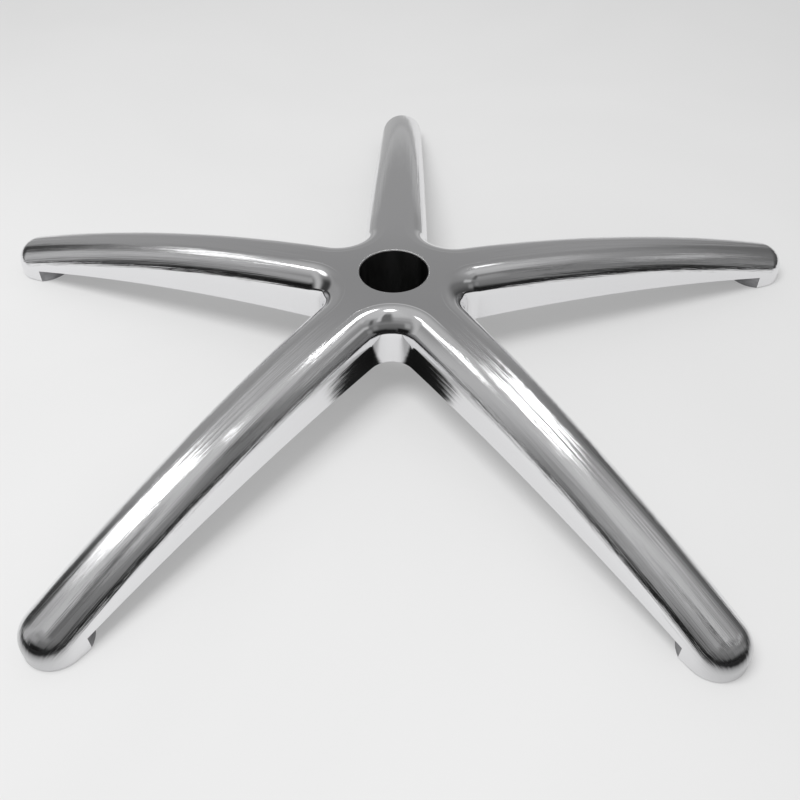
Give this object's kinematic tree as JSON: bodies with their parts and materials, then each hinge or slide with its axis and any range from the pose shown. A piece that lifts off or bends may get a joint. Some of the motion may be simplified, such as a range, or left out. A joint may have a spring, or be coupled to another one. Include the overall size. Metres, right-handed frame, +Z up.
{
  "type": "swivel chair base",
  "caption": "Star-shaped cast aluminium swivel chair base with domed tapering arms, a tapered gas-lift socket in the hub and a caster socket under each arm tip.",
  "frame": {"origin": "on the socket's axis, in the plane of the caster bosses' lower faces, at the centre of the ring of stem holes", "axes": "+Z is up, along the socket's axis. +Y points along the back arm, and the base is its own mirror image across the YZ plane. +X is to the right, seen from the front."},
  "size_m": [0.6466, 0.6169, 0.0732],
  "materials": {
    "polished_aluminium": "die cast, mirror polished on the outside, as cast on the underside"
  },
  "bodies": {
    "root": {"star_base": "polished_aluminium"}
  },
  "joints": []
}
